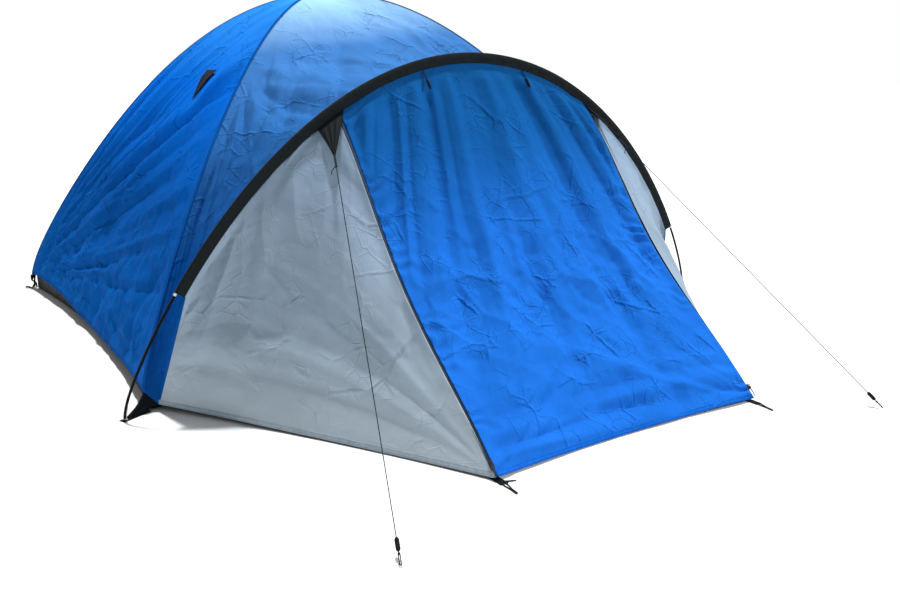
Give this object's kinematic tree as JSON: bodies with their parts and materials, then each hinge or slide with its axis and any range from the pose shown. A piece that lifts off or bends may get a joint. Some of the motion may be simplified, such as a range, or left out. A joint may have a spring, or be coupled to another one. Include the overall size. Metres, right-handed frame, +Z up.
{
  "type": "dome tent with porch",
  "caption": "Pitched dome tent with crossed poles, an inner tent, a blue and grey outer sheet and a hooped front porch with a zipped door.",
  "frame": {"origin": "on the ground under the middle of the tent's box, which reaches from the door's peg loops at the front to the webbing behind the rear corners", "axes": "+X to the right for someone who faces the tent's front from outside and looks along +Y, +Y from the porch door towards the rear of the cabin, +Z up"},
  "size_m": [2.3942, 3.1085, 1.3093],
  "materials": {
    "fibreglass": "wrapped fibreglass rod, satin black",
    "plated_steel": "zinc-plated steel ferrules and pins",
    "royal_blue_polyester": "thin coated polyester taffeta, royal blue",
    "pale_blue_polyester": "thin coated polyester taffeta, paler blue where the sky shines on it",
    "bright_blue_polyester": "thin coated polyester taffeta, bright blue",
    "grey_polyester": "thin coated polyester taffeta, cool grey",
    "black_webbing": "woven black polypropylene webbing and reinforcing cloth",
    "black_elastic": "braided black elastic cord",
    "guy_cord": "braided dark grey cord",
    "black_nylon": "moulded black nylon",
    "plated_zinc": "black-nickel-plated cast zinc",
    "zip_tape": "woven zip tape with a sewn-in nylon coil",
    "inner_cloth": "breathable pale grey polyester",
    "inner_mesh": "fine black insect mesh",
    "coated_ground_sheet": "woven polyethylene ground sheet, dark olive"
  },
  "bodies": {
    "root": {"main_pole_lower": "fibreglass", "main_pole_upper": "fibreglass", "porch_pole": "fibreglass", "porch_pole_ferrule_left": "plated_steel", "porch_pole_ferrule_right": "plated_steel", "pin_front_left": "plated_steel", "pin_front_right": "plated_steel", "pin_rear_left": "plated_steel", "pin_rear_right": "plated_steel", "porch_pin_left": "plated_steel", "porch_pin_right": "plated_steel", "outer_panel_left": "royal_blue_polyester", "outer_panel_right": "royal_blue_polyester", "outer_panel_rear": "royal_blue_polyester", "outer_panel_front": "pale_blue_polyester", "porch_sleeve": "black_webbing", "door_header": "bright_blue_polyester", "porch_side_left": "grey_polyester", "porch_side_right": "grey_polyester", "zip_left": "zip_tape", "zip_right": "zip_tape", "guy_patch_left": "black_webbing", "guy_patch_right": "black_webbing", "guy_line_left": "guy_cord", "guy_line_right": "guy_cord", "guy_end_loop_left": "guy_cord", "guy_end_loop_right": "guy_cord", "door_corner_webbing_left": "black_webbing", "door_corner_webbing_right": "black_webbing", "peg_loop_left": "black_elastic", "peg_loop_right": "black_elastic", "corner_webbing_front_left": "black_webbing", "corner_webbing_front_right": "black_webbing", "corner_webbing_rear_left": "black_webbing", "corner_webbing_rear_right": "black_webbing", "guy_tab_left": "black_webbing", "guy_tab_right": "black_webbing", "guy_tab_rear": "black_webbing", "inner_wall_left": "inner_cloth", "inner_wall_right": "inner_cloth", "inner_wall_rear": "inner_mesh", "inner_wall_front": "inner_cloth", "inner_pole_sleeve_front_left": "inner_cloth", "inner_pole_sleeve_front_right": "inner_cloth", "inner_pole_sleeve_rear_left": "inner_cloth", "inner_pole_sleeve_rear_right": "inner_cloth", "ground_sheet": "coated_ground_sheet"},
    "porch_door": {"porch_door": "bright_blue_polyester"},
    "inner_door": {"inner_door": "inner_cloth"},
    "zip_slider_left": {"zip_slider_left": "plated_zinc"},
    "zip_slider_right": {"zip_slider_right": "plated_zinc"},
    "zip_pull_left": {"zip_pull_left": "plated_zinc"},
    "zip_pull_right": {"zip_pull_right": "plated_zinc"},
    "toggle_left": {"toggle_loop_left": "black_elastic", "toggle_left": "black_nylon"},
    "toggle_right": {"toggle_loop_right": "black_elastic", "toggle_right": "black_nylon"},
    "guy_runner_left": {"guy_runner_left": "black_nylon"},
    "guy_runner_right": {"guy_runner_right": "black_nylon"}
  },
  "joints": [
    {"name": "porch_door_lift", "type": "hinge", "parent": "root", "child": "porch_door", "pos_m": [0, -0.61845, 0.9275], "axis": [-1, 0, 0], "range_deg": [0, 80]},
    {"name": "inner_door_fall", "type": "hinge", "parent": "root", "child": "inner_door", "pos_m": [0, -0.34069, 0.103], "axis": [1, 0, 0], "range_deg": [0, 118]},
    {"name": "zip_slide_left", "type": "slide", "parent": "root", "child": "zip_slider_left", "axis": [-0.0011, 0.6937, 0.7203], "range_m": [0, 1.04]},
    {"name": "zip_slide_right", "type": "slide", "parent": "root", "child": "zip_slider_right", "axis": [0.0011, 0.6937, 0.7203], "range_m": [0, 1.04]},
    {"name": "pull_swing_left", "type": "hinge", "parent": "zip_slider_left", "child": "zip_pull_left", "pos_m": [-0.50619, -1.35623, 0.04358], "axis": [-0.9075, 0.3018, -0.2921], "range_deg": [0, 120]},
    {"name": "pull_swing_right", "type": "hinge", "parent": "zip_slider_right", "child": "zip_pull_right", "pos_m": [0.50619, -1.35623, 0.04358], "axis": [-0.9075, -0.3018, 0.2921], "range_deg": [0, 120]},
    {"name": "toggle_swing_left", "type": "hinge", "parent": "root", "child": "toggle_left", "pos_m": [-0.2, -0.5487, 1.00399], "axis": [-1, 0, 0], "range_deg": [0, 90]},
    {"name": "toggle_swing_right", "type": "hinge", "parent": "root", "child": "toggle_right", "pos_m": [0.2, -0.5487, 1.00399], "axis": [-1, 0, 0], "range_deg": [0, 90]},
    {"name": "runner_slide_left", "type": "slide", "parent": "root", "child": "guy_runner_left", "axis": [0.2688, 0.746, 0.6093], "range_m": [0, 0.25]},
    {"name": "runner_slide_right", "type": "slide", "parent": "root", "child": "guy_runner_right", "axis": [-0.1753, 0.7773, 0.6042], "range_m": [0, 0.25]}
  ]
}
